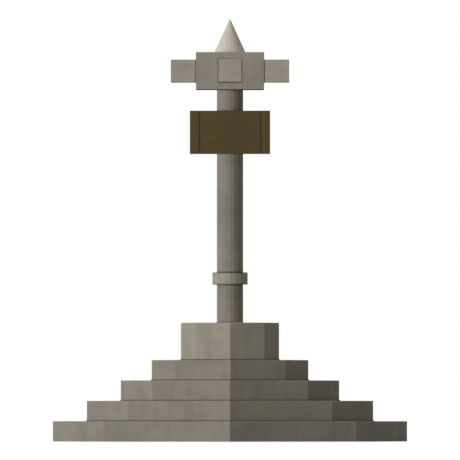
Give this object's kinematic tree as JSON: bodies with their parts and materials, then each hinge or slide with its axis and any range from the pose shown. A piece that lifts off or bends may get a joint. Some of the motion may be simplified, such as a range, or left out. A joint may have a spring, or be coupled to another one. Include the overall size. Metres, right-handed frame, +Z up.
{
  "type": "market cross",
  "caption": "Stone market cross: octagonal steps, socket stone, faceted shaft with collar and boarded oak casing, and a head block with square arms and a pointed finial.",
  "frame": {"origin": "centre of the base, on the ground", "axes": "+Z up the shaft; -Y is the front, where an arris of the steps points; +X is the side of the east arm of the head"},
  "size_m": [5.22, 5.22, 6.23],
  "materials": {
    "limestone": "matte",
    "mid_limestone": "matte",
    "pale_limestone": "matte",
    "rubble": "matte",
    "oak": "matte"
  },
  "bodies": {
    "root": {"bottom_step_ene": "limestone", "bottom_step_nne": "limestone", "bottom_step_nnw": "limestone", "bottom_step_wnw": "limestone", "bottom_step_wsw": "limestone", "bottom_step_ssw": "limestone", "bottom_step_sse": "limestone", "bottom_step_ese": "limestone", "second_step_ene": "limestone", "second_step_nne": "limestone", "second_step_nnw": "limestone", "second_step_wnw": "limestone", "second_step_wsw": "limestone", "second_step_ssw": "limestone", "second_step_sse": "limestone", "second_step_ese": "limestone", "third_step_ene": "limestone", "third_step_nne": "limestone", "third_step_nnw": "limestone", "third_step_wnw": "limestone", "third_step_wsw": "limestone", "third_step_ssw": "limestone", "third_step_sse": "limestone", "third_step_ese": "limestone", "top_step_ne": "limestone", "top_step_nw": "limestone", "top_step_sw": "limestone", "top_step_se": "limestone", "hearting": "rubble", "socket_stone": "mid_limestone", "lower_shaft": "limestone", "collar": "mid_limestone", "upper_shaft": "limestone", "casing_board_east": "oak", "casing_board_north": "oak", "casing_board_west": "oak", "casing_board_south": "oak", "casing_posts": "oak", "casing_lid": "oak", "casing_soffit": "oak", "head_block": "mid_limestone", "head_arm_east": "pale_limestone", "head_arm_north": "pale_limestone", "head_arm_west": "pale_limestone", "head_arm_south": "pale_limestone", "finial": "pale_limestone"}
  },
  "joints": []
}
